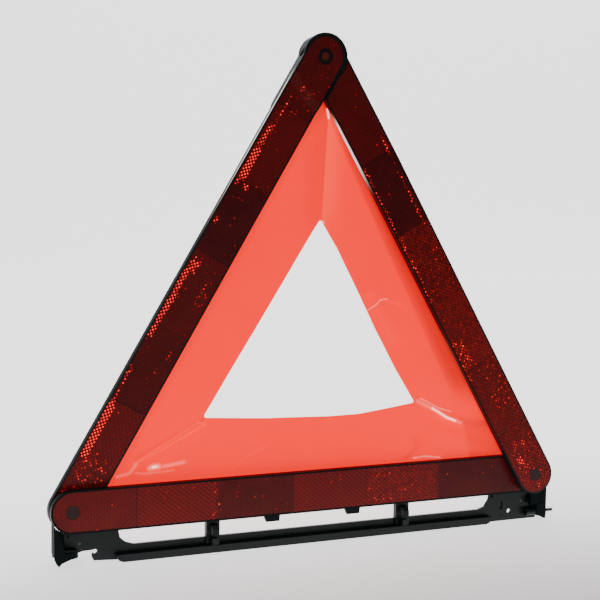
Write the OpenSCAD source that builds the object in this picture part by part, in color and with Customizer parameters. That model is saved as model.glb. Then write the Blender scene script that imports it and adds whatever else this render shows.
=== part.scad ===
// Folding warning triangle: three hinged reflector arms, a fluorescent foil and a base with legs.
// +X runs along the bottom arm, the reflectors face -Y, +Z is up; z = 0 is the floor.

/* [Arms] */
// Distance between the two lower pivots
pivot_spacing = 408; // [396:1:420]
// Width of each arm
arm_width = 34; // [33:0.5:36]
// Black rim left showing round each reflector
rim = 1.5; // [1.2:0.1:1.8]
// Thickness of each reflector
lens_depth = 2.4; // [2.0:0.1:2.4]
// Angle between the hinge pins and the arms' normal
lean = 1.85; // [1.7:0.05:1.9]

/* [Base] */
// Height of the lower pivots above the floor
pivot_height = 42; // [41:0.5:44]
// Front of the rail's lip, in front of the bottom arm's centre
lip_reach = 5.5; // [4.5:0.5:6.5]
// Length of each wire leg from its pivot
leg_length = 106; // [90:1:112]

/* [Foil] */
// Length of the straight lower edge of the foil's opening
opening_side = 189; // [170:1:200]

/* [Hidden] */

arm_r = arm_width / 2;
half = 2.75;                 // half the arm's thickness
layer = 8.5;                 // distance between neighbouring arms' centre planes
pad = 1.8;                   // how far a lap lug is set off its own arm
lug_lens = 1.1;              // reflector thickness on the lug
floor_y = -half + lens_depth;
rib_depth = 1.5;
flange_t = 1.6;
half_span = pivot_spacing / 2;
zp = pivot_height;
pin_axis = [-sin(lean), cos(lean), 0];
foot_shift = layer * tan(lean);
reach = (half_span + foot_shift) / (0.5 + 0.5 * pow(sin(lean), 2));
apex_z = zp + reach * cos(lean) * sin(60);
lap_gap = 0.1;
lap_side = 0.3;
skew = 0.353;                // slant of the lug's ramp across the arm
ramp_at = reach - 38;
ramp_end = reach - 30;
taper_at = reach - 108;
taper_end = reach - 16;
lug_r = 19.0;                // round end of the left arm's lug
lug_in = 0.3;                // its centre, inside the arm's centre line
fork_front = 4.75;           // front of the fork's rear plate, behind the right arm's lug
fork_plate = 5.6;
fork_rear = 11.6;
fork_start = reach - 66;
stud_r = 6.3;

shaft_r = 3;
bore_r = 3.08;
head_r = 5.4;
head_hole_r = 5.6;
washer_r = 5.5;
washer_hole_r = 6;
axial_gap = 0.25;

post_left_x = -90.5;
post_right_x = 79;
post_w = 8;
flange_x0 = 152;
flange_x1 = 190;
flange_top = -7;
web_y0 = 0.75;
web_y1 = 3.15;
plate_end = 210;
leg_x = 178;
leg_y = 8;
leg_z = 5.2;
leg_r = 2;
leg_top = 22.6;
tip_r = 4.4;
bracket_pin_y = -2.4;
bracket_screw_x = 198;

foil_slope_x = -0.0239;
foil_slope_z = -0.0049;
foil_y0 = 7.28;              // the foil's front face above x = 0 at pivot height
foil_t = 0.6;
foil_rivet_r = 1.5;
foil_rivet_at = [33, reach - 56];
foil_rivet_in = 10;
foil_right_x = 150;
foil_right_z = 9.5;
opening_k = opening_side / 189;

plastic = [0.14, 0.15, 0.15];
red = [0.45, 0.05, 0.07];
orange = [1, 0.4, 0.3];
steel = [0.7, 0.71, 0.72];

// Extrudes a drawing made in X and Z from y0 to y1.
module slab(y0, y1) {
    translate([0, y1, 0]) rotate([90, 0, 0]) linear_extrude(y1 - y0) children();
}

// Cylinder along Y from y0 to y1.
module y_cyl(r, y0, y1, fn = 48) {
    translate([0, y1, 0]) rotate([90, 0, 0]) cylinder(r = r, h = y1 - y0, $fn = fn);
}

// Cylinder along the hinge pins' direction, measured from the pivot's centre.
module pin_cyl(r, y0, y1, fn = 48) {
    rotate([0, 0, lean]) y_cyl(r, y0, y1, fn);
}

// Long shape with round ends, from x = a to x = b.
module stadium(r, a, b) {
    translate([a, 0]) circle(r = r, $fn = 72);
    translate([b, 0]) circle(r = r, $fn = 72);
    translate([min(a, b), -r]) square([abs(b - a), 2 * r]);
}

// Puts an arm drawn along X from its foot pivot into the raised triangle.
module raise_left() {
    translate([-half_span, 0, zp]) rotate(a = -60, v = pin_axis)
        translate([-foot_shift, layer, 0]) children();
}

module raise_right() {
    translate([half_span, 0, zp]) rotate(a = 60, v = pin_axis)
        translate([foot_shift, -layer, 0]) children();
}

// Plan drawing in X and Y, carried across the arm with its ramps slanted.
module plan(s, points) {
    multmatrix([[1, 0, s * skew, 0], [0, 1, 0, 0], [0, 0, 1, 0], [0, 0, 0, 1]])
        translate([0, 0, -arm_r - 4]) linear_extrude(2 * arm_r + 8)
            polygon([for (p = points) [s * p[0], p[1]]]);
}

// Everything outside one arm's inner edge line near the apex, in X and Z: 1 right arm, -1 left.
module beyond(side, clear) {
    translate([0, apex_z]) rotate(side * 30)
        translate([side > 0 ? -arm_r - clear : arm_r + clear - 150, -100]) square([150, 200]);
}

// Room that the left arm's lug takes in front of the right arm, in X and Z.
module lug_room(clear) {
    translate([lug_in * cos(30), apex_z - lug_in * sin(30)]) circle(r = lug_r + clear, $fn = 96);
}

// Shallow rear pockets between slanting ribs.
module rear_pockets(x0, x1, bays) {
    step = (x1 - x0) / bays;
    inner = arm_r - 2.4;
    for (i = [0 : bays - 1]) {
        translate([x0 + i * step, 0]) {
            polygon([[0.9, -inner], [step - 2.2, -inner], [0.9, inner - 2.6]]);
            polygon([[step - 0.9, inner], [2.2, inner], [step - 0.9, -inner + 2.6]]);
        }
    }
}

// Height of the pin that holds each end bracket, from the pivots' height.
function pin_z(side) = side > 0 ? -35.4 : -32;

// Height of the foil's front face at x and a height above the pivots.
function foil_y(x, z) = foil_y0 + foil_slope_x * x + foil_slope_z * z;

// A point on the raised left arm, r along it and d inside its centre line.
function left_point(r, d) =
    [-half_span + 0.5 * r + d * cos(30), r * sin(60) - d * sin(30)];

left_rivets = [for (r = foil_rivet_at) left_point(r, foil_rivet_in)];
flange_screws = [for (s = [-1, 1], x = [159, 183]) [s * x, -12]];
post_screws = [[post_left_x, -12], [post_right_x, -12]];

// ---- bottom arm ----

module bottom_housing() {
    color(plastic) translate([0, 0, zp]) difference() {
        union() {
            slab(-half, half) stadium(arm_r, -half_span, half_span);
            for (x = [-47, 25]) {
                translate([x, 0, -arm_r]) slab(-2.2, 0.6)
                    polygon([[0, 0.6], [2.2, -5], [13.4, -5], [14, 0.6]]);
            }
        }
        slab(-half - 1, floor_y) stadium(arm_r - rim, -half_span, half_span);
        slab(half - rib_depth, half + 1) rear_pockets(-142, 142, 9);
        for (x = [-flange_x1, flange_x0]) flange_seat(x, flange_x1 - flange_x0);
        for (x = [post_left_x, post_right_x]) flange_seat(x - post_w / 2, post_w);
        for (p = concat(flange_screws, post_screws)) {
            translate([p[0], 0, p[1]]) y_cyl(1.1, -0.1, half, 24);
        }
        for (x = [-half_span, half_span]) translate([x, 0, 0]) pin_cyl(bore_r, -5, 5);
        translate([half_span, 0, 0]) pin_cyl(head_hole_r, half - 1.15, half + 1);
        translate([foil_right_x, 0, foil_right_z]) y_cyl(foil_rivet_r + 0.08, 0.1, half + 1, 24);
    }
}

module flange_seat(x, w) {
    slab(half - flange_t, half + 1)
        translate([x - 0.2, -arm_r - 1]) square([w + 0.4, arm_r + flange_top + 1.2]);
}

module bottom_lens() {
    color(red) translate([0, 0, zp]) difference() {
        slab(-half, floor_y) stadium(arm_r - rim - 0.1, -half_span, half_span);
        translate([-half_span, 0, 0]) pin_cyl(head_hole_r, -5, 5);
        translate([half_span, 0, 0]) pin_cyl(washer_hole_r, -5, 5);
    }
}

// ---- left arm ----

module left_lens_plan(gap) {
    plan(1, [[-40, -9], [reach + 40, -9], [reach + 40, -half - pad + lug_lens],
             [ramp_at + 4 - gap, -half - pad + lug_lens], [ramp_at + 4 - gap, floor_y],
             [-40, floor_y]]);
}

module left_outer_plan() {
    plan(1, [[-40, -half], [ramp_at, -half], [ramp_end, -half - pad],
             [reach + 40, -half - pad], [reach + 40, half], [-40, half]]);
}

// Rear plate and disc of the fork that takes the right arm's lug.
module left_fork() {
    intersection() {
        slab(2, 8) intersection() {
            stadium(arm_r, 0, reach);
            translate([fork_start, -4]) square([70, arm_r + 5]);
        }
        plan(1, [[fork_start, 2], [fork_start + 6, fork_plate], [reach + 40, fork_plate],
                 [reach + 40, 2]]);
    }
    translate([reach, 0, 0]) difference() {
        y_cyl(arm_r, 2.6, fork_rear, 72);
        y_cyl(arm_r - 3, fork_rear - 1.2, fork_rear + 1, 72);
    }
}

module left_housing() {
    color(plastic) difference() {
        raise_left() difference() {
            union() {
                intersection() {
                    slab(-8, 8) {
                        stadium(arm_r, 0, reach);
                        translate([reach, -lug_in]) circle(r = lug_r, $fn = 96);
                    }
                    left_outer_plan();
                }
                left_fork();
            }
            intersection() {
                slab(-9, 8) stadium(arm_r - rim, 0, reach);
                left_lens_plan(0);
            }
            slab(half - rib_depth, half + 1) rear_pockets(46, reach - 70, 9);
            pin_cyl(bore_r, -8, 8);
        }
        slab(-lap_gap, fork_front) beyond(1, lap_side);
        translate([0, 0, apex_z]) y_cyl(bore_r, -8, 4);
        for (p = left_rivets) {
            translate([p[0], 0, zp + p[1]])
                y_cyl(foil_rivet_r + 0.08, foil_y(p[0], p[1]) - 3.2, 14, 24);
        }
    }
}

module left_lens() {
    color(red) difference() {
        raise_left() difference() {
            intersection() {
                slab(-9, 8) stadium(arm_r - rim - 0.1, 0, reach);
                left_lens_plan(0.1);
                left_outer_plan();
            }
            pin_cyl(washer_hole_r, -8, 8);
        }
        translate([0, 0, apex_z]) y_cyl(stud_r + 0.2, -8, 8);
    }
}

// ---- right arm ----

right_front = 0.05;          // front of the tapered tip, from the arm's centre plane

module right_outer_plan() {
    plan(-1, [[-40, -half], [taper_at, -half], [taper_end, right_front],
              [reach + 40, right_front + 1.4], [reach + 40, half + pad],
              [ramp_end, half + pad], [ramp_at, half], [-40, half]]);
}

module right_lens_plan() {
    plan(-1, [[-40, -9], [reach + 40, -9], [reach + 40, right_front + 2.6],
              [taper_end, right_front + 1.2], [taper_at, floor_y], [-40, floor_y]]);
}

module right_housing() {
    color(plastic) difference() {
        raise_right() intersection() {
            slab(-8, 8) stadium(arm_r, 0, -reach);
            right_outer_plan();
        }
        difference() {
            raise_right() intersection() {
                slab(-9, 8) stadium(arm_r - rim, 0, -reach);
                right_lens_plan();
            }
            slab(-20, 20) {
                beyond(-1, lap_side + rim);
                lug_room(lap_side + 0.4);
            }
        }
        raise_right() {
            slab(half - rib_depth, half + 1) rear_pockets(70 - reach, -46, 9);
            pin_cyl(bore_r, -8, 8);
        }
        slab(-12, lap_gap) {
            beyond(-1, lap_side);
            lug_room(lap_side);
        }
        translate([0, 0, apex_z]) y_cyl(5, -8, 8);
    }
}

module right_lens() {
    color(red) difference() {
        raise_right() difference() {
            intersection() {
                slab(-9, 8) stadium(arm_r - rim - 0.1, 0, -reach);
                right_outer_plan();
                right_lens_plan();
            }
            pin_cyl(head_hole_r, -8, 8);
        }
        slab(-20, 20) {
            beyond(-1, lap_side + rim + 0.1);
            lug_room(lap_side + 0.5);
        }
    }
}

// ---- pivots ----

module pivot_rivet_left() {
    color(plastic) translate([-half_span, 0, zp]) {
        pin_cyl(head_r, -half + 0.05, floor_y - 0.2);
        pin_cyl(shaft_r, floor_y - 0.3, layer + half + 0.5);
        pin_cyl(head_r, layer + half + axial_gap, layer + half + 1.5);
    }
}

module pivot_rivet_right() {
    color(plastic) translate([half_span, 0, zp]) {
        pin_cyl(head_r, -layer - half + 0.05, floor_y - layer - axial_gap);
        pin_cyl(shaft_r, floor_y - layer - 0.4, half - 0.5);
        pin_cyl(head_r, half - 0.95, half - 0.15);
    }
}

module pivot_washer_left() {
    color(steel) translate([-half_span, 0, zp]) difference() {
        pin_cyl(washer_r, half + 0.2, layer + floor_y - axial_gap);
        pin_cyl(bore_r, 0, layer);
    }
}

module pivot_washer_right() {
    color(steel) translate([half_span, 0, zp]) difference() {
        pin_cyl(washer_r, half - layer + axial_gap, floor_y - 0.2);
        pin_cyl(bore_r, -layer, 0);
    }
}

module apex_stud() {
    color(plastic) translate([0, 0, apex_z]) difference() {
        union() {
            y_cyl(stud_r, -2.75, -1.75);
            y_cyl(shaft_r, -1.8, 2.1);
        }
        y_cyl(3.7, -3, -2.25);
    }
}

module apex_socket() {
    color(plastic) translate([0, 0, apex_z]) difference() {
        y_cyl(4.95, 0.15, 2.2);
        y_cyl(bore_r, -1, 3);
    }
}

// ---- foil ----

// Sheet standing in the foil's slanted plane, d behind its front face.
module foil_sheet(d, t) {
    translate([0, foil_y0 + d + t, zp])
        multmatrix([[1, 0, 0, 0], [foil_slope_x, 1, foil_slope_z, 0], [0, 0, 1, 0], [0, 0, 0, 1]])
            rotate([90, 0, 0]) linear_extrude(t) children();
}

module foil_outline() {
    top = apex_z - zp - 23;
    low = 9;
    left_in = 6;
    right_in = 8;
    xl = function (z) -half_span + z / tan(60) + left_in / sin(60);
    xr = function (z) half_span - z / tan(60) - right_in / sin(60);
    polygon([[xl(low), low], [xr(low) - 6, low], [xr(low) - 3, low + 6], [xr(top), top], [xl(top), top]]);
}

module foil_opening() {
    translate([-3, 115]) scale(opening_k) translate([3, -115])
        polygon([[-95, 68], [-94, 65.4], [-91, 64.8], [-40, 61.6], [13, 60.4], [41, 60.8],
                 [85, 66.2], [89.5, 67.6], [90, 69.5], [73, 97], [53, 131.5], [35.5, 165.5],
                 [17.6, 199], [4, 220], [2, 221.6], [-0.5, 220.2]]);
}

module foil() {
    color(orange) difference() {
        foil_sheet(0, foil_t) difference() {
            foil_outline();
            foil_opening();
        }
        for (p = concat(left_rivets, [[foil_right_x, foil_right_z]])) {
            translate([p[0], 0, zp + p[1]]) y_cyl(foil_rivet_r + 0.15, 0, 14, 24);
        }
    }
}

module foil_rivet(x, z, depth) {
    y = foil_y(x, z) + foil_t;
    translate([x, 0, zp + z]) {
        y_cyl(foil_rivet_r, y - depth, y + 0.4, 24);
        y_cyl(3.6, y + 0.15, y + 1.05, 32);
    }
}

module foil_rivets_left() {
    color(plastic) for (p = left_rivets) foil_rivet(p[0], p[1], 3.4);
}

module foil_rivet_right() {
    color(plastic) foil_rivet(foil_right_x, foil_right_z, 3.9);
}

// ---- base ----

module end_plate_left() {
    polygon([[-plate_end, -17.1], [-plate_end, -38.5], [-199.8, -37], [-199, -35.6],
             [-199.6, -33], [-196, -31.9], [-189, -31.6], [-186, -31.5], [-188.2, -34.5],
             [-188.6, -36.5], [-187, -40.1], [-170, -zp + 0.8], [-150, -zp], [-150, -30],
             [-155.1, -30], [-161.5, -27.9], [-164.8, -25.2], [-166.5, -23.2], [-167.3, -18.7],
             [-167.3, -17.1]]);
}

module end_plate_right() {
    polygon([[plate_end, -17.1], [plate_end, -34.5], [208, -36], [213.6, 0.6 - zp], [213.2, -zp],
             [190, -zp], [150, -zp], [150, -30], [155, -30], [161, -28], [164.6, -22.6],
             [165.9, -19.4], [166, -17.1]]);
}

module lip_face() {
    x0 = -170;
    x1 = 165;
    polygon([[x0, -36], [x0, 4 - zp], [x0 + 1.6, 1.4 - zp], [x0 + 5, -zp],
             [x1 - 5, -zp], [x1 - 1.6, 1.4 - zp], [x1, 4 - zp], [x1, -36]]);
}

module base_frame() {
    wall = 1.8;
    cell = 32.6;
    color(plastic) translate([0, 0, zp]) difference() {
        union() {
            slab(web_y0, web_y1) difference() {
                union() {
                    end_plate_left();
                    end_plate_right();
                    translate([-155, -zp]) square([310, zp - 30]);
                    for (x = [post_left_x, post_right_x]) {
                        translate([x - post_w / 2, -31]) square([post_w, 13.9]);
                    }
                }
                translate([-186, -33]) circle(r = 1.9, $fn = 32);
                translate([186, -34]) circle(r = 2, $fn = 32);
            }
            slab(-lip_reach, web_y0 + 0.2) lip_face();
            for (x = [-flange_x1, flange_x0]) flange(x, flange_x1 - flange_x0);
            for (x = [post_left_x, post_right_x]) flange(x - post_w / 2, post_w);
            slab(-1.2, web_y0 + 0.2) {
                translate([-207, -20.5]) square([34, 3.4]);
                translate([168, -20.5]) square([36, 3.4]);
            }
            for (s = [-1, 1]) {
                translate([s * 205.3, bracket_pin_y, pin_z(s)]) rotate([0, 90, 0])
                    cylinder(r = 3.3, h = 9, center = true, $fn = 40);
            }
        }
        for (i = [0 : 9]) {
            translate([(i - 5) * cell + 0.8, 0, 0]) slab(wall - lip_reach, web_y0)
                translate([0, -zp - 1]) square([cell - 1.6, zp - 36 - wall + 1]);
        }
        slab(web_y0 - 1, web_y0 + 1.2) translate([175.7, -31.5]) square([3.6, 6.9]);
        for (s = [-1, 1]) {
            translate([s * 205.3, bracket_pin_y, pin_z(s)]) rotate([0, 90, 0])
                cylinder(r = 1.45, h = 12, center = true, $fn = 32);
            translate([s * bracket_screw_x, 0, -26]) y_cyl(1.1, 0, 5, 24);
        }
        for (p = concat(flange_screws, post_screws)) {
            translate([p[0], 0, p[1]]) y_cyl(1.4, 0, 4, 24);
            translate([p[0], 0, p[1]]) y_cyl(2.6, half - 0.85, 4, 24);
        }
    }
}

module flange(x, w) {
    slab(half - flange_t + 0.05, half - 0.05)
        translate([x, -arm_r - 0.8]) square([w, arm_r + flange_top + 0.8]);
}

module base_screws() {
    color(steel) translate([0, 0, zp]) for (p = concat(flange_screws, post_screws)) {
        translate([p[0], 0, p[1]]) {
            y_cyl(1.05, 0, half - 0.4, 24);
            y_cyl(2.4, half - 0.8, half - 0.05, 24);
        }
    }
}

// Two hooked fingers, one over the other, in Y and Z.
module finger_profile() {
    polygon([[0, -18.6], [-5.6, -19.8], [-8, -22.2], [-8.3, -26.6], [-5.9, -27], [-5.6, -23.8],
             [-3.4, -22.6], [0, -22.6]]);
    polygon([[0, -35.8], [-5.6, -35.4], [-8, -33.6], [-8.3, -29.6], [-5.9, -28.9], [-5.6, -31.6],
             [-3.4, -32.6], [0, -32.6]]);
}

module wire_clip(x, w) {
    color(plastic) translate([x, 0, zp]) {
        slab(-1.6, web_y0 - 0.05) translate([-w / 2, -36.6 + 0.8]) square([w, 18.6]);
        for (s = [-1, 1]) {
            slab(-1.6, web_y1) translate([s * (w / 2 - 0.7) - 0.7, -29.8]) square([1.4, 12.6]);
        }
        translate([-2.8, -0.8, 0]) rotate([90, 0, 90]) linear_extrude(5.6) finger_profile();
    }
}

module left_wire_clip() wire_clip(post_left_x, 11.2);

module right_wire_clip() wire_clip(post_right_x, 12);

// Wall of an end bracket that follows the arms' round ends, in X and Z.
module cheek(side) {
    difference() {
        polygon([[side * 218.6, -5], [side * 220.4, -5], [side * 220.4, -30], [side * 219, -34],
                 [side * 216.8, -34], [side * 216.8, -12]]);
        translate([side * half_span, 0]) circle(r = arm_r + 0.7, $fn = 96);
    }
}

// Rear half of an end bracket: bearing of the leg, foot and bridge to the front half.
module bracket_block(side) {
    mirror([side > 0 ? 0 : 1, 0, 0]) difference() {
        union() {
            translate([172, web_y1 + 0.05, 10.8]) cube([44.5, 11, 10.2]);
            translate([211.5, web_y1 + 0.05, 0]) cube([3.5, 5.8, 11]);
            translate([214.4, web_y1 - 4, 10.8]) cube([3.6, 5, 10.2]);
        }
        translate([leg_x, leg_y, 5]) cylinder(r = leg_r + 0.08, h = 30, $fn = 48);
        translate([bracket_screw_x, 0, 16]) y_cyl(1.35, 0, 20, 24);
        translate([bracket_screw_x, 0, 16]) y_cyl(2.7, 12.6, 20, 24);
    }
}

module left_end_bracket() {
    color(plastic) difference() {
        union() {
            translate([0, 0, zp]) {
                slab(-10.75, -0.6) cheek(-1);
                slab(-10.75, -8.9) difference() {
                    polygon([[-220.4, -6], [-220.4, -30], [-219.6, -34.2], [-216.6, -39.5],
                             [-214.9, -36.9], [-203.1, -32.6], [-203.9, -28.1], [-211.7, -30.1],
                             [-214, -19.2], [-217, -14]]);
                    translate([-half_span, 0]) circle(r = arm_r + 0.7, $fn = 96);
                }
                slab(-10.75, -6) polygon([[-219.6, -34.2], [-216.6, -39.5], [-214.9, -36.9],
                                          [-203.1, -32.6], [-203.5, -30], [-216.5, -32.4]]);
                slab(-1, web_y1 + 0.1) difference() {
                    polygon([[-218.4, -8], [-218.4, -26], [-214, -33.6], [-210.6, -33.6],
                             [-210.6, -8]]);
                    translate([-half_span, 0]) circle(r = arm_r + 0.7, $fn = 96);
                }
            }
            bracket_block(-1);
        }
        pin_bore(-1);
    }
}

module right_end_bracket() {
    color(plastic) difference() {
        union() {
            translate([0, 0, zp]) {
                slab(-5.4, -0.6) cheek(1);
                slab(-5.4, -1.3) difference() {
                    polygon([[204.3, -17.9], [219.8, -17.9], [219.8, -28.4], [204.3, -28.4]]);
                    translate([half_span, 0]) circle(r = arm_r + 0.7, $fn = 96);
                }
                slab(-6.1, 0.5) polygon([[210.6, -28.4], [219.8, -27.6], [220.2, -36],
                                         [219.6, 0.4 - zp], [218, 0.4 - zp], [214.8, -39.4],
                                         [210.6, -38.6]]);
                slab(-1, web_y1 + 0.1) difference() {
                    polygon([[221.4, -8], [221.4, -33], [219, -37], [215.6, -35], [210.6, -33],
                             [210.6, -8]]);
                    translate([half_span, 0]) circle(r = arm_r + 0.7, $fn = 96);
                }
            }
            bracket_block(1);
        }
        pin_bore(1);
    }
}

module pin_bore(side) {
    translate([side * 216, bracket_pin_y, zp + pin_z(side)]) rotate([0, 90, 0])
        cylinder(r = 1.43, h = 30, center = true, $fn = 32);
}

module bracket_screws() {
    color(steel) for (s = [-1, 1]) translate([s * bracket_screw_x, 0, 16]) {
        y_cyl(1.05, 1.2, 13, 24);
        y_cyl(2.5, 12.7, 14, 24);
    }
}

module bracket_pins() {
    color(steel) {
        translate([-220.2, bracket_pin_y, zp + pin_z(-1)]) rotate([0, 90, 0])
            cylinder(r = 1.4, h = 16.6, $fn = 32);
        translate([203.6, bracket_pin_y, zp + pin_z(1)]) rotate([0, 90, 0])
            cylinder(r = 1.4, h = 24.8, $fn = 32);
    }
}

// ---- legs ----

module leg(side) {
    bend = 4;
    color(steel) translate([side * leg_x, leg_y, 0]) rotate([0, 0, side > 0 ? 180 : 0]) {
        translate([0, 0, leg_z + bend]) cylinder(r = leg_r, h = leg_top - leg_z - bend, $fn = 48);
        translate([bend, 0, leg_z + bend]) rotate([90, 0, 0]) rotate([0, 0, 180])
            rotate_extrude(angle = 90, $fn = 48) translate([bend, 0]) circle(r = leg_r, $fn = 48);
        translate([bend, 0, leg_z]) rotate([0, 90, 0])
            cylinder(r = leg_r, h = leg_length - bend, $fn = 48);
    }
}

module leg_tip(side) {
    color(plastic) translate([side * leg_x, leg_y, leg_z]) rotate([0, 0, side > 0 ? 180 : 0])
        translate([leg_length - 12, 0, 0]) rotate([0, 90, 0]) rotate_extrude($fn = 48)
            polygon([[leg_r + 0.05, 0], [tip_r - 0.9, 0], [tip_r, 1], [tip_r, 13], [tip_r - 1.2, 14.4],
                     [0, 14.4], [0, 12.1], [leg_r + 0.05, 12.1]]);
}

module left_leg() leg(-1);

module right_leg() leg(1);

module left_leg_tip() leg_tip(-1);

module right_leg_tip() leg_tip(1);

module leg_washer(side) {
    color(steel) translate([side * leg_x, leg_y, 21.15]) difference() {
        cylinder(r = 4.2, h = 0.9, $fn = 48);
        translate([0, 0, -1]) cylinder(r = leg_r + 0.02, h = 4, $fn = 48);
    }
}

module left_leg_washer() leg_washer(-1);

module right_leg_washer() leg_washer(1);

bottom_housing();
bottom_lens();
left_housing();
left_lens();
right_housing();
right_lens();
pivot_rivet_left();
pivot_rivet_right();
pivot_washer_left();
pivot_washer_right();
apex_stud();
apex_socket();
foil();
foil_rivets_left();
foil_rivet_right();
base_frame();
base_screws();
left_wire_clip();
right_wire_clip();
left_end_bracket();
right_end_bracket();
bracket_screws();
bracket_pins();
left_leg();
right_leg();
left_leg_tip();
right_leg_tip();
left_leg_washer();
right_leg_washer();
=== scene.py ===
import bpy
import bmesh
import math
from mathutils import Matrix, Vector, noise


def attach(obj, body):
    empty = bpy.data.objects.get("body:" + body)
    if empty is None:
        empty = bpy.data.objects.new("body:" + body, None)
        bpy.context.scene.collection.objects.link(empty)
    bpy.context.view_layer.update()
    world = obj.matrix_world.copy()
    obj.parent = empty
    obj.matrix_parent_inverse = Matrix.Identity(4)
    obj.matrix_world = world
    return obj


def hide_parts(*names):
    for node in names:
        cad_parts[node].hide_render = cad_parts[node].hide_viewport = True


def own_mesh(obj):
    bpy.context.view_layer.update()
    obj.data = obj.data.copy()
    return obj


MM = 0.001
ZP = 42 * MM                 # height of the lower pivots
SPAN = 204 * MM              # from the middle to a lower pivot
APEX = 353.26 * MM           # apex pivot above the lower pivots
SLOPE = math.radians(60)     # of the two raised arms
COS60, S60 = math.cos(SLOPE), math.sin(SLOPE)

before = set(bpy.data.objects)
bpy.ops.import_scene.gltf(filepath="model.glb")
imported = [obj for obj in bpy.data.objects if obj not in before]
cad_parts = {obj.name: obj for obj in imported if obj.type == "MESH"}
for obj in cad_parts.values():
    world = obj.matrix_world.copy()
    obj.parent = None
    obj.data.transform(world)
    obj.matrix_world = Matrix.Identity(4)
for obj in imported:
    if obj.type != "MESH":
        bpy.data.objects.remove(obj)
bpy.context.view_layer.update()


# ---------------------------------------------------------------- node sums

class Sum:
    """A socket that takes part in plain arithmetic."""

    def __init__(self, g, socket):
        self.g, self.socket = g, socket

    def __add__(self, o): return self.g.op("ADD", self, o)
    def __radd__(self, o): return self.g.op("ADD", o, self)
    def __sub__(self, o): return self.g.op("SUBTRACT", self, o)
    def __rsub__(self, o): return self.g.op("SUBTRACT", o, self)
    def __mul__(self, o): return self.g.op("MULTIPLY", self, o)
    def __rmul__(self, o): return self.g.op("MULTIPLY", o, self)
    def __truediv__(self, o): return self.g.op("DIVIDE", self, o)


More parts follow.
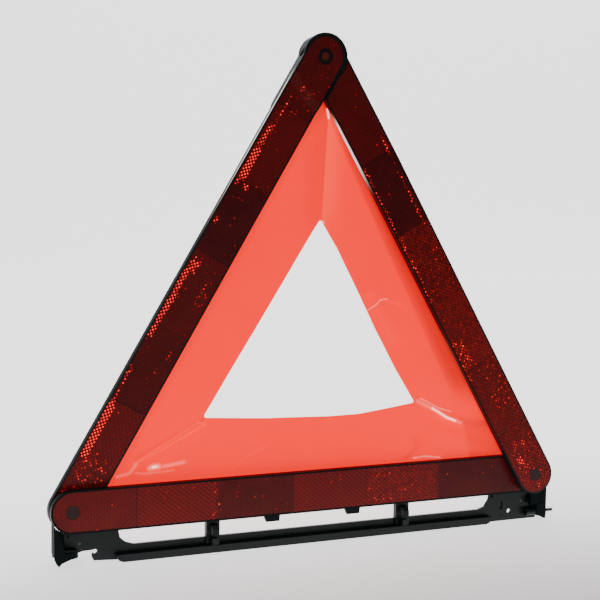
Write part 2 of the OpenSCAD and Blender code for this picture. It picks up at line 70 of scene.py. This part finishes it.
class Material:
    """A material and the means to add its nodes in a few words."""

    def __init__(self, name):
        self.mat = bpy.data.materials.new(name)
        self.mat.use_nodes = True
        self.tree = self.mat.node_tree
        self.bsdf = self.tree.nodes["Principled BSDF"]
        self.coord = self.node("ShaderNodeTexCoord").outputs["Object"]

    def node(self, kind, **props):
        n = self.tree.nodes.new(kind)
        for k, v in props.items():
            setattr(n, k, v)
        return n

    def put(self, socket, value):
        if isinstance(value, Sum):
            value = value.socket
        if isinstance(value, bpy.types.NodeSocket):
            self.tree.links.new(value, socket)
        else:
            socket.default_value = value

    def op(self, kind, a, b=0.0, clamp=False):
        n = self.node("ShaderNodeMath", operation=kind, use_clamp=clamp)
        for s, v in zip(n.inputs, (a, b)):
            self.put(s, v)
        return Sum(self, n.outputs[0])

    def clamp(self, a):
        return self.op("ADD", a, 0.0, clamp=True)

    def dot(self, vector, by):
        n = self.node("ShaderNodeVectorMath", operation="DOT_PRODUCT")
        self.put(n.inputs[0], vector)
        n.inputs[1].default_value = by
        return Sum(self, n.outputs["Value"])

    def join(self, x, y, z):
        n = self.node("ShaderNodeCombineXYZ")
        for s, v in zip(n.inputs, (x, y, z)):
            self.put(s, v)
        return n.outputs[0]

    def scaled(self, vector, by):
        n = self.node("ShaderNodeVectorMath", operation="MULTIPLY")
        self.put(n.inputs[0], vector)
        n.inputs[1].default_value = by
        return n.outputs[0]

    def noise(self, vector, scale, detail=2.0, rough=0.5):
        n = self.node("ShaderNodeTexNoise")
        self.put(n.inputs["Vector"], vector)
        n.inputs["Scale"].default_value = scale
        n.inputs["Detail"].default_value = detail
        n.inputs["Roughness"].default_value = rough
        return Sum(self, n.outputs["Fac"])

    def cells(self, vector, scale, loose=0.0, what="Distance"):
        n = self.node("ShaderNodeTexVoronoi")
        self.put(n.inputs["Vector"], vector)
        n.inputs["Scale"].default_value = scale
        n.inputs["Randomness"].default_value = loose
        return Sum(self, n.outputs[what])

    def step(self, a, low, high):
        """0 below low, 1 above high, smooth between."""
        n = self.node("ShaderNodeMapRange", interpolation_type="SMOOTHSTEP")
        self.put(n.inputs["Value"], a)
        n.inputs["From Min"].default_value = low
        n.inputs["From Max"].default_value = high
        return Sum(self, n.outputs[0])

    def mix(self, by, a, b):
        n = self.node("ShaderNodeMix", data_type="RGBA")
        self.put(n.inputs["Factor"], by)
        for s, v in ((n.inputs["A"], a), (n.inputs["B"], b)):
            self.put(s, (*v, 1) if isinstance(v, tuple) and len(v) == 3 else v)
        return n.outputs["Result"]

    def blocks(self, a, edges, values):
        """A value for each stretch of a (0 to 1), stepping at the edges."""
        n = self.node("ShaderNodeValToRGB")
        n.color_ramp.interpolation = "CONSTANT"
        el = n.color_ramp.elements
        while len(el) > 1:
            el.remove(el[-1])
        el[0].position, el[0].color = 0, (*values[0], 1)
        for e, v in zip(edges, values[1:]):
            el.new(e).color = (*v, 1)
        self.put(n.inputs[0], a)
        s = self.node("ShaderNodeSeparateColor")
        self.put(s.inputs[0], n.outputs["Color"])
        return [Sum(self, o) for o in s.outputs]

    def stroke(self, x, z, points, width):
        """1 along a line through the points, falling to 0 at the width beside it."""
        best = 0.0
        for (ax, az), (bx, bz) in zip(points, points[1:]):
            dx, dz = bx - ax, bz - az
            long = dx * dx + dz * dz
            t = self.clamp((x - ax) * (dx / long) + (z - az) * (dz / long))
            ex, ez = x - ax - t * dx, z - az - t * dz
            far = self.op("SQRT", ex * ex + ez * ez)
            best = self.op("MAXIMUM", best, 1 - self.step(far, 0.0, width))
        return best * best

    def strokes(self, x, z, table):
        """The sum of several strokes, each given as its points, width and weight."""
        total = 0.0
        for points, width, weight in table:
            total = total + self.stroke(x, z, points, width) * weight
        return total

    def across_arm(self, along, across, origin):
        """Distances in mm along an arm and across it, from origin."""
        return [(self.dot(self.coord, way) - Vector(origin).dot(Vector(way))) * 1000
                for way in (along, across)]

    def side(self, x, z, a, b, low, high):
        """0 to 1 across the line through a and b, rising to its right from low to high."""
        dx, dz = b[0] - a[0], b[1] - a[1]
        long = math.hypot(dx, dz)
        return self.step((x - a[0]) * (dz / long) - (z - a[1]) * (dx / long), low, high)

    def bump(self, height, strength, distance):
        n = self.node("ShaderNodeBump")
        n.inputs["Strength"].default_value = strength
        n.inputs["Distance"].default_value = distance
        self.put(n.inputs["Height"], height)
        return n.outputs["Normal"]

    def set(self, **values):
        for k, v in values.items():
            self.put(self.bsdf.inputs[k.replace("_", " ")], v)


# ---------------------------------------------------------------- materials

def black_plastic(name, base=(0.0036, 0.0064, 0.0070), gloss=0.38, centre=None, edge=None,
                  shine=0.22):
    """Moulded black plastic. centre: a reddish middle at (point, radius in mm).
    edge: a painted highlight glowing along an arm's wall, as (origin, along, across, whether it is
    the outer wall)."""
    m = Material(name)
    fine = m.noise(m.coord, 1900, 2)
    wide = m.noise(m.coord, 34, 3, 0.6)
    scuff = m.step(m.noise(m.scaled(m.coord, (1, 3, 0.25)), 420, 3, 0.7), 0.62, 0.74)
    dust = m.step(m.noise(m.coord, 130, 5, 0.72), 0.58, 0.85)
    pale = tuple(c * 2.2 + 0.006 for c in base)
    m.set(Base_Color=m.mix(m.clamp(scuff * 0.45 + dust * 0.4), base, pale),
          Roughness=m.clamp(gloss + wide * 0.16 + scuff * 0.12 - 0.08),
          Normal=m.bump(fine + wide * 2.0, 0.16, 0.0003))
    m.bsdf.inputs["Specular IOR Level"].default_value = shine
    if centre:
        (cx, cz), r = centre
        ex = (m.dot(m.coord, (1, 0, 0)) - cx) * 1000
        ez = (m.dot(m.coord, (0, 0, 1)) - cz) * 1000
        far = m.op("SQRT", ex * ex + ez * ez)
        m.set(Base_Color=m.mix(1 - m.step(far, r * 0.8, r), base, (0.10, 0.012, 0.010)))
    # Painted highlight: a pale glowing line along the arm's wall, and on the right arm's inner wall
    # a fainter tan painted highlight lower down.
    if edge:
        origin, along, across, outer = edge
        u, v = m.across_arm(along, across, origin)
        if outer:
            depth = m.dot(m.coord, (0, 1000, 0)) + u * 0.0174 - 5.3    # behind the rim's front
            wall = m.step(v, 16.7, 16.85) * m.step(depth, 0.3, 0.8) * (1 - m.step(depth, 2.2, 3.2))
            bright = wall * m.step(u, 225, 315) * (1 - m.step(u, 376, 392))
            strength = bright * 1.1
        else:
            wall = 1 - m.step(v, -16.95, -16.8)
            bright = wall * m.step(u, 286, 325) * (1 - m.step(u, 352, 368))
            strength = bright * 1.1 + wall * m.step(u, 50, 70) * (1 - m.step(u, 135, 165)) * 0.35
        m.set(Emission_Color=m.mix(m.clamp(bright), (0.42, 0.20, 0.13), (1.0, 0.94, 0.92)),
              Emission_Strength=strength)
    return m.mat


def zinc_steel(name="zinc_steel", low=(0.34, 0.35, 0.36), high=(0.56, 0.56, 0.54)):
    m = Material(name)
    streak = m.noise(m.scaled(m.coord, (0.12, 1, 1)), 900, 3, 0.6)
    spangle = m.noise(m.coord, 260, 2)
    m.set(Base_Color=m.mix(spangle, low, high),
          Roughness=m.clamp(streak * 0.3 + 0.16),
          Normal=m.bump(streak, 0.12, 0.0002))
    m.bsdf.inputs["Metallic"].default_value = 1.0
    return m.mat


def reflector(name, origin, along, across, edges, kinds, glints):
    """Red prism lens. u runs from origin along the arm, v across it, both in mm.
    kinds: brightness, slant of the hatch and share of painted glint dots for each moulded block.
    glints: (u low, u high, v low, v high, strength), painted glints where the prisms catch the
    light."""
    m = Material(name)
    u, v = m.across_arm(along, across, origin)
    ramp_length, ramp_start = 440, 0.05
    bright, slant, dotted = m.blocks(u / ramp_length + ramp_start,
                                     [e / ramp_length + ramp_start for e in edges], kinds)
    plane = m.join(u, v, 0.0)

    def hatch(pitch, angle):
        a = math.radians(angle)
        w = m.op("SINE", (u * math.cos(a) + v * math.sin(a)) * (2 * math.pi / pitch))
        return w * 0.5 + 0.5

    upright = hatch(2.1, 0)
    diagonal = hatch(2.9, 52)
    counter = hatch(2.9, -52)
    rows = slant * diagonal + (1 - slant) * upright
    lattice = rows * 0.65 + counter * 0.35
    prisms = 0.42                # per mm
    cube = m.cells(plane, prisms)
    turned = m.join((u + v) * 0.7071, (u - v) * 0.7071, 0.0)
    cell = m.cells(turned, prisms, 0.1)
    pick = m.dot(m.cells(turned, prisms, 0.1, "Color").socket, (0.5, 0.3, 0.2))
    patch = m.noise(plane, 0.045, 3, 0.6)
    seam = 0.0
    for e in edges:
        seam = m.op("MAXIMUM", seam, 1 - m.step(m.op("ABSOLUTE", u - e), 0.25, 0.6))
    spread = m.noise(plane, 0.11, 2)
    glint = 0.0
    for u0, u1, v0, v1, strength in glints:
        zone = m.step(u, u0 - 5, u0 + 3) * (1 - m.step(u, u1 - 3, u1 + 5))
        zone = zone * m.step(v, v0 - 2, v0 + 1) * (1 - m.step(v, v1 - 1, v1 + 2))
        glint = m.op("MAXIMUM", glint, zone * strength)
    # spot, dots and faint: painted glints, prism cells that brighten the colour and glow.
    spot = 1 - m.step(cell, 0.16, 0.42)
    lit = m.clamp(glint * 1.5 + pick * 1.2 + spread * 0.5 - 1.25)
    dots = m.clamp(spot * m.clamp(lit * 1.8))
    faint = spot * m.step(pick + dotted * 0.5, 0.82, 0.98) * m.clamp(dotted + 0.12)
    tone = m.clamp(bright * (lattice * 0.75 + 0.45) + patch * 0.35 - 0.18 + faint * 0.5)
    red = m.mix(tone, (0.036, 0.0028, 0.0035), (0.25, 0.010, 0.009))
    red = m.mix(seam * 0.55, red, (0.016, 0.003, 0.003))
    red = m.mix(dots, red, (0.9, 0.02, 0.015))
    m.set(Base_Color=red,
          Roughness=m.clamp(0.42 - lattice * 0.15),
          Normal=m.bump(lattice + cube * 0.6, 0.3, 0.0006),
          # The glow is painted light: the glints, and a faint glow over the whole lens.
          Emission_Color=m.mix(dots, (0.20, 0.004, 0.004), (1.0, 0.012, 0.010)),
          Emission_Strength=dots * 2.3 + faint * 0.45 + tone * 0.06 + glint * 0.05)
    m.bsdf.inputs["Coat Weight"].default_value = 0.10
    m.bsdf.inputs["Coat Roughness"].default_value = 0.06
    m.bsdf.inputs["Specular IOR Level"].default_value = 0.1
    return m.mat


# Strokes on the foil: points in mm from the middle of the lower pivots, width, weight.
# Painted shade: darker lines along creases.
PAINTED_SHADE_STROKES = [
    ([(85, 20), (96, 30), (92, 38)], 3.0, 0.34),
    ([(-150, 36), (-96, 64)], 3.5, 0.14),
    ([(136, 50), (160, 46)], 9.0, 0.2),
    ([(90, 66), (110, 57)], 3.0, 0.2)]
# Painted sheen: paler lines on the creases and a soft sheen on the swell by the right arm.
PAINTED_SHEEN_STROKES = [
    ([(-100, 62), (-153, 31)], 1.2, 0.6),
    ([(-94, 59), (-150, 32)], 1.1, 0.5),
    ([(-101, 62), (-94, 59)], 1.3, 0.6),
    ([(-110, 30), (-132, 27)], 3.6, 0.5),
    ([(-43, 38), (-60, 30), (-72, 19)], 1.1, 0.35),
    ([(46, 160), (70, 120)], 9, 0.15),
    ([(57, 157), (75, 152)], 3, 0.3)]
# Painted highlights: pale pink glints on the folds and at the opening's corners.
PAINTED_HIGHLIGHT_STROKES = [
    ([(94, 69), (112, 60), (122, 53), (136, 48)], 3.2, 0.09),
    ([(108, 62), (122, 53.4), (130, 50)], 1.9, 0.55),
    ([(97, 71), (114, 62), (126, 58)], 1.6, 0.12),
    ([(46, 148), (53, 152), (57, 156), (63, 157)], 1.1, 0.15),
    ([(-139, 27), (-133, 28)], 5.2, 0.16),
    ([(-137, 27.4), (-134.5, 27.8)], 2.2, 0.5),
    ([(-128, 28), (-112, 30)], 3.4, 0.08),
    ([(-166, 22), (-156, 24), (-151, 31)], 2.8, 0.07),
    ([(-151, 24), (-144, 22.5), (-120, 24)], 2.2, 0.05),
    ([(92, 19.5), (102, 20.5), (117, 18.5)], 1.7, 0.13),
    ([(5.6, 312), (6.8, 305)], 2.0, 0.6),
    ([(4, 221.5), (4.6, 220.5)], 1.2, 0.4)]
TOP_FOLD = ((2, 223), (6, 310))      # from the opening's top corner to the foil's top corner


def foil_material():
    """Fluorescent foil that glows, with painted shade, painted sheen and painted highlights on its
    creases and folds, and a band of painted shade along the slack by the right arm.
    """
    m = Material("foil_orange")
    x = m.dot(m.coord, (1000, 0, 0))
    z = m.dot(m.coord, (0, 0, 1000)) - 42
    cloud = m.noise(m.coord, 9, 3, 0.55)
    grain = m.noise(m.coord, 2600, 2)
    scratch = m.step(m.noise(m.scaled(m.coord, (0.5, 1, 3.0)), 240, 3, 0.65), 0.66, 0.78)

    fold_left = m.side(x, z, *TOP_FOLD, -26, 0)
    fold_right = m.side(x, z, *TOP_FOLD, 0, 0.8)
    fold_far = m.side(x, z, *TOP_FOLD, 1, 22)
    upper = m.step(z, 196, 240)
    slack = m.side(x, z, (123, 78), (77, 167), 0, 3)
    slack_far = m.side(x, z, (129, 75), (92, 147), 0, 4)
    corner = m.side(x, z, (145, 19), (139, 46), 0, 1.5) * (1 - m.step(z, 44, 52))
    below = 1 - m.step(z, 36, 62)
    # dark: painted shade left of the top fold, in the slack bands by the right arm, in the lower
    # right corner and along the shade strokes, a little darker towards the bottom, with random
    # mottling from the cloud.
    dark = (upper * fold_left * (1 - fold_right) * 0.24
            + m.step(z, 60, 90) * (slack * 0.40 + slack_far * 0.22)
            + corner * 0.26 + below * 0.06 + cloud * 0.24 - 0.06
            + m.strokes(x, z, PAINTED_SHADE_STROKES))
    # pale: painted sheen on the lit side of the top fold and along the sheen strokes.
    pale = upper * fold_right * (1 - fold_far) * 0.55 + m.strokes(x, z, PAINTED_SHEEN_STROKES)
    # Painted highlights, glowing pale pink and lightening the base colour.
    painted_highlights = m.strokes(x, z, PAINTED_HIGHLIGHT_STROKES)
    uneven = m.noise(m.join(x, z, 0.0), 0.22, 2) * 1.1 + 0.4
    dark = m.clamp(dark)
    pale = m.clamp(pale)
    painted_highlights = m.clamp(painted_highlights * uneven)
    # The glow stands for the foil's fluorescence and for much of its lighting; the painted shade,
    # sheen and highlights are mixed into it.
    glow = m.mix(dark, (1.50, 0.004, 0.0), (0.36, 0.0, 0.0))
    glow = m.mix(pale, glow, (1.85, 0.075, 0.035))
    glow = m.mix(painted_highlights, glow, (3.0, 1.9, 1.6))
    m.set(Base_Color=m.mix(painted_highlights, (0.80, 0.002, 0.0), (0.9, 0.5, 0.4)),
          Roughness=m.clamp(0.30 + grain * 0.1 + scratch * 0.2),
          Normal=m.bump(grain * 0.4 + cloud, 0.12, 0.0004),
          Emission_Color=glow)
    m.bsdf.inputs["Emission Strength"].default_value = 1.0
    m.bsdf.inputs["Specular IOR Level"].default_value = 0.12
    return m.mat


# ---------------------------------------------------------------- camera

FOCAL = 1321.7 / 600         # in frame widths
YAW, PITCH, ROLL = math.radians(22.89), math.radians(-5.97), math.radians(0.95)
cam_data = bpy.data.cameras.new("camera")
cam_data.sensor_width = 36
cam_data.lens = cam_data.sensor_width * FOCAL
cam = bpy.data.objects.new("camera", cam_data)
cam.matrix_world = (Matrix.Translation((-0.4306, -0.9780, 0.3115))
                    @ Matrix.Rotation(-YAW, 4, "Z")
                    @ Matrix.Rotation(math.pi / 2 + PITCH, 4, "X")
                    @ Matrix.Rotation(ROLL, 4, "Z"))
bpy.context.collection.objects.link(cam)
bpy.context.scene.camera = cam


# ---------------------------------------------------------------- carried-over nodes

def finish_node(name, mat, bevel=0.0):
    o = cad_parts[name]
    o.data.materials.clear()
    o.data.materials.append(mat)
    if bevel:
        b = o.modifiers.new("edges", "BEVEL")
        b.width = bevel * MM
        b.segments = 2
        b.limit_method = "ANGLE"
        b.angle_limit = math.radians(38)


plastic = black_plastic("black_plastic")
bottom_plastic = black_plastic("bottom_plastic", shine=0.08)
bracket_plastic = black_plastic("bracket_plastic", gloss=0.5, shine=0.04)
rivet_plastic = black_plastic("rivet_plastic", (0.024, 0.0075, 0.0065), 0.3)
stud_plastic = black_plastic("stud_plastic", (0.008, 0.005, 0.005), 0.3, ((0, ZP + APEX), 3.6))
# The raised arms' plastics, each with a painted highlight glowing along one wall.
right_plastic = black_plastic(
    "right_plastic", edge=((SPAN, 0, ZP), (-COS60, 0, S60), (S60, 0, COS60), False))
left_plastic = black_plastic(
    "left_plastic", edge=((-SPAN, 0, ZP), (COS60, 0, S60), (-S60, 0, COS60), True))
steel = zinc_steel()
dark_steel = zinc_steel("dark_steel", (0.045, 0.048, 0.046), (0.09, 0.092, 0.088))

finish_node("bottom_housing", bottom_plastic, 0.35)
finish_node("left_housing", left_plastic, 0.35)
finish_node("right_housing", right_plastic, 0.35)
finish_node("apex_stud", stud_plastic, 0.2)
finish_node("base_frame", plastic, 0.3)
for n in ("left_end_bracket", "right_end_bracket"):
    finish_node(n, bracket_plastic, 0.3)
for n in ("left_wire_clip", "right_wire_clip", "left_leg_tip", "right_leg_tip"):
    finish_node(n, plastic, 0.25)
for n in ("pivot_rivet_left", "pivot_rivet_right", "apex_socket",
          "foil_rivets_left", "foil_rivet_right"):
    finish_node(n, rivet_plastic, 0.2)
for n in ("pivot_washer_left", "pivot_washer_right", "base_screws", "left_leg_washer",
          "right_leg_washer"):
    finish_node(n, steel, 0.15)
for n in ("bracket_screws", "bracket_pins"):
    finish_node(n, dark_steel, 0.15)
for n in ("left_leg", "right_leg"):
    finish_node(n, steel)

lens_bottom = reflector(
    "lens_bottom", (-SPAN, 0, ZP), (1, 0, 0), (0, 0, 1),
    [50, 116, 182, 248, 315, 381],
    [(0.50, 0.1, 0.05), (0.62, 1.0, 0.10), (0.26, 0.0, 0.02), (0.55, 1.0, 0.06),
     (0.55, 0.9, 0.72), (0.22, 0.0, 0.05), (0.18, 0.0, 0.0)],
    [(115, 116.5, -12, 10, 0.42), (250, 274, -13, 13, 0.12), (274, 300, -13, 13, 0.05)])
lens_left = reflector(
    "lens_left", (0, 0, ZP + APEX), (-COS60, 0, -S60), (-S60, 0, COS60),
    [51, 117.5, 184, 250.5, 317, 383.5],
    [(0.30, 0.4, 0.35), (0.42, 0.2, 0.12), (0.16, 0.0, 0.03), (0.34, 0.6, 0.25),
     (0.26, 0.0, 0.15), (0.50, 0.8, 0.30), (0.5, 0.8, 0.3)],
    [(44, 76, 7.5, 9.5, 0.42), (70, 100, 9.5, 12.5, 0.62), (92, 118, 8.5, 13.5, 0.95),
     (112, 124, 12, 14, 0.5), (122, 124, 2, 6, 1.0),
     (153, 159, 11, 13.5, 0.5), (192, 202, 6, 14, 0.62), (198, 240, 11, 14.5, 0.8),
     (236, 262, 12, 15, 0.7), (200, 222, -13, -5, 0.22), (290, 330, 12.5, 15, 0.55),
     (322, 366, 10, 15, 1.0), (362, 400, -12, 12, 0.26),
     (24, 58, -11, 9, 0.12), (267, 269, -9.5, -8, 0.8)])
lens_right = reflector(
    "lens_right", (SPAN, 0, ZP), (-COS60, 0, S60), (S60, 0, COS60),
    [50, 116.5, 183, 249.5, 316, 382],
    [(0.52, 0.9, 0.80), (0.55, 0.8, 0.66), (0.62, 0.2, 0.82), (0.48, 1.0, 0.80),
     (0.16, 0.0, 0.03), (0.34, 0.7, 0.15), (0.30, 0.7, 0.15)],
    [(250, 315, -16, -14, 0.5), (247, 330, 10.5, 12.5, 0.45), (182, 250, -16.5, -13, 0.42),
     (185, 246, -11, 13, 0.08), (122, 145, -13, -5, 0.42), (104, 146, -16.3, -14.3, 0.45),
     (62, 112, -4, 13, 0.16), (-13, 40, -11, 13, 0.17), (16, 24, -10, -4, 0.5)])
finish_node("bottom_lens", lens_bottom, 0.3)
finish_node("left_lens", lens_left, 0.3)
finish_node("right_lens", lens_right, 0.3)


# ---------------------------------------------------------------- foil

def foil_front(x, z):
    """Where the flat foil's front face stands, z above the lower pivots, all in mm."""
    return 7.28 - 0.0239 * x - 0.0049 * z


def ridge(x, z, a, b, width, height):
    """A crease along a to b that fades out past its ends."""
    fade, past = 0.25, 0.1       # shares of its length
    ax, az = a
    dx, dz = b[0] - ax, b[1] - az
    long = math.hypot(dx, dz)
    t = ((x - ax) * dx + (z - az) * dz) / long ** 2
    d = ((x - ax) * dz - (z - az) * dx) / long
    ends = min(1, max(0, (t + past) / fade)) * min(1, max(0, (1 + past - t) / fade))
    return height * ends * math.exp(-(d / width) ** 2)


# Creases in the foil: ends in mm from the middle of the lower pivots, width, height.
CREASES = [
    ((-95, 63), (-160, 24), 3.2, 1.5),
    ((-92, 57), (-150, 27), 2.4, 1.0),
    ((-94, 60), (-156, 25), 1.3, -0.8),
    ((-135, 26), (-112, 30), 3.5, 1.3),
    ((2, 224), (6, 312), 3.0, 1.3),
    ((-6, 222), (1, 300), 5.0, -0.9),
    ((93, 69), (137, 48), 3.0, 1.8),
    ((96, 62), (137, 41), 4.0, -1.2),
    ((120, 40), (168, 20), 5.0, 0.9),
    ((70, 18), (88, 28), 2.6, 0.9),
    ((84, 16), (120, 16), 3.0, 0.7),
    ((40, 160), (58, 166), 1.6, 0.9),
    ((60, 150), (130, 60), 12, 0.8),
    ((-60, 32), (-28, 52), 1.2, 0.3)]


def foil_relief(x, z):
    """How far the foil stands in front of its flat plane, in mm."""
    h = sum(ridge(x, z, a, b, width, height) for a, b, width, height in CREASES)
    slow = noise.noise(Vector((x * 0.018, z * 0.018, 3.1)))
    quick = noise.noise(Vector((x * 0.06, z * 0.05, 7.7)))
    return h + 0.9 * slow + 0.25 * quick


def corner_loop(corners, radii, count):
    """Points evenly spaced round a polygon with rounded corners."""
    path = []
    n = len(corners)
    for i, (c, r) in enumerate(zip(corners, radii)):
        p, q = Vector(corners[i - 1]), Vector(corners[(i + 1) % n])
        c = Vector(c)
        a, b = (p - c).normalized(), (q - c).normalized()
        half = a.angle(b) / 2
        cut = r / math.tan(half)
        start, end = c + a * cut, c + b * cut
        for k in range(9):
            t = k / 8
            path.append(start.lerp(c, t).lerp(c.lerp(end, t), t))
    total = [0.0]
    for i, p in enumerate(path):
        total.append(total[-1] + (path[(i + 1) % len(path)] - p).length)
    points, j = [], 0
    for k in range(count):
        s = total[-1] * k / count
        while total[j + 1] < s:
            j += 1
        t = (s - total[j]) / max(1e-9, total[j + 1] - total[j])
        points.append(path[j].lerp(path[(j + 1) % len(path)], t))
    return points


def arm_edge(z, inside):
    """Half the width of the raised arms' triangle at z, taken in by inside."""
    return 204 - z / math.tan(SLOPE) - inside / S60


def make_foil():
    """A ring of faces between the opening and the outer edge, corner matched to corner."""
    low, top = 9.0, 330.0
    outer = [(-arm_edge(low, 6), low), (arm_edge(low, 8) - 6, low), (arm_edge(low, 8) - 3, low + 6),
             (arm_edge(top, 8), top), (-arm_edge(top, 6), top)]
    opening = [(-96.5, 65), (-40, 61.4), (13, 60.2), (41, 60.7), (91.5, 67.6),
               (73, 97), (53, 131.5), (35.5, 165.5), (17.6, 199), (1.6, 223.5)]
    radii = [2.0, 14, 14, 14, 2.0, 14, 14, 14, 14, 1.6]
    count, rings = 420, 44
    far = corner_loop(outer, [1.2] * len(outer), 1600)
    near = corner_loop(opening, radii, count)

    def nearest(loop, p):
        return min(range(len(loop)), key=lambda i: (loop[i] - Vector(p)).length)

    in_at = [nearest(near, opening[i]) for i in (0, 4, 9)]
    out_at = [nearest(far, p) for p in (outer[0], (outer[2][0], low + 3), (0, top))]
    verts, faces = [], []
    matched = []
    for i in range(count):
        for s in range(3):
            a, b = in_at[s], in_at[(s + 1) % 3]
            span = (b - a) % count
            off = (i - a) % count
            if off < span:
                c, d = out_at[s], out_at[(s + 1) % 3]
                wide = (d - c) % len(far)
                at = (c + wide * off / span) % len(far)
                k = int(at)
                matched.append(far[k].lerp(far[(k + 1) % len(far)], at - k))
                break
    for r in range(rings + 1):
        t = r / rings
        for i in range(count):
            x, z = near[i].lerp(matched[i], t)
            flat_edge = min(1.0, (1 - t) * 6)        # no relief at the outer edge
            y = foil_front(x, z) + 0.1 - max(-1.0, foil_relief(x, z)) * flat_edge
            verts.append((x * MM, y * MM, ZP + z * MM))
    for r in range(rings):
        for i in range(count):
            j = (i + 1) % count
            faces.append((r * count + i, r * count + j, (r + 1) * count + j, (r + 1) * count + i))
    mesh = bpy.data.meshes.new("foil_sheet")
    mesh.from_pydata(verts, [], faces)
    mesh.validate()
    o = bpy.data.objects.new("foil_sheet", mesh)
    bpy.context.collection.objects.link(o)
    bm = bmesh.new()
    bm.from_mesh(mesh)
    bmesh.ops.recalc_face_normals(bm, faces=bm.faces)
    bm.to_mesh(mesh)
    bm.free()
    for p in mesh.polygons:
        p.use_smooth = True
    s = o.modifiers.new("thickness", "SOLIDIFY")
    s.thickness = 0.3 * MM
    s.offset = 0
    mesh.materials.append(foil_material())
    return o


foil = make_foil()
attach(foil, "bottom_arm")
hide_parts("foil")
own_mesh(foil)


# ---------------------------------------------------------------- stage and light

def pale_floor():
    """Pale paper that glows behind the triangle, less in front of it and to its left."""
    m = Material("floor_pale")
    tone = m.noise(m.coord, 3, 2)
    behind = m.step(m.dot(m.coord, (0, 1, 0)), -0.4, 0.25)
    right = m.step(m.dot(m.coord, (1, -0.176, 0)), -0.46, -0.26)
    m.set(Base_Color=m.mix(tone, (0.54, 0.54, 0.535), (0.56, 0.56, 0.555)),
          Emission_Strength=behind * (right * 1.7 + 0.15) + 0.15)
    m.bsdf.inputs["Roughness"].default_value = 0.9
    m.bsdf.inputs["Specular IOR Level"].default_value = 0.1
    m.bsdf.inputs["Emission Color"].default_value = (1, 1, 1, 1)
    return m.mat


def make_stage():
    """A pale floor that curves up into a backdrop a long way behind."""
    profile = [(-3.0, 0)] + [(2.2 + 1.2 * math.sin(a), 1.2 - 1.2 * math.cos(a))
                             for a in (math.radians(6 * i) for i in range(16))] + [(3.4, 3.6)]
    verts = [(x, y, z - 0.0004) for y, z in profile for x in (-5.0, 5.0)]
    faces = [(2 * i, 2 * i + 1, 2 * i + 3, 2 * i + 2) for i in range(len(profile) - 1)]
    mesh = bpy.data.meshes.new("floor")
    mesh.from_pydata(verts, [], faces)
    for p in mesh.polygons:
        p.use_smooth = True
    mesh.materials.append(pale_floor())
    o = bpy.data.objects.new("floor", mesh)
    bpy.context.collection.objects.link(o)


make_stage()

world = bpy.data.worlds.new("studio")
bpy.context.scene.world = world
world.use_nodes = True
world.node_tree.nodes["Background"].inputs["Color"].default_value = (1.0, 1.0, 0.99, 1)
world.node_tree.nodes["Background"].inputs["Strength"].default_value = 0.16


def lamp(name, at, aim, size, watts, colour=(1, 1, 1)):
    d = bpy.data.lights.new(name, "AREA")
    d.size = size
    d.energy = watts
    d.color = colour
    o = bpy.data.objects.new(name, d)
    o.location = at
    o.rotation_euler = (Vector(aim) - Vector(at)).to_track_quat("-Z", "Y").to_euler()
    bpy.context.collection.objects.link(o)


lamp("key", (-1.2, -1.6, 1.9), (0, 0, 0.2), 0.5, 22, (1, 0.98, 0.95))
lamp("top", (0.2, 0.3, 2.6), (0, 0, 0), 1.6, 22)
lamp("rim", (-0.75, 2.2, 1.55), (0, 0, 0.35), 0.45, 3.0, (0.95, 0.98, 1))
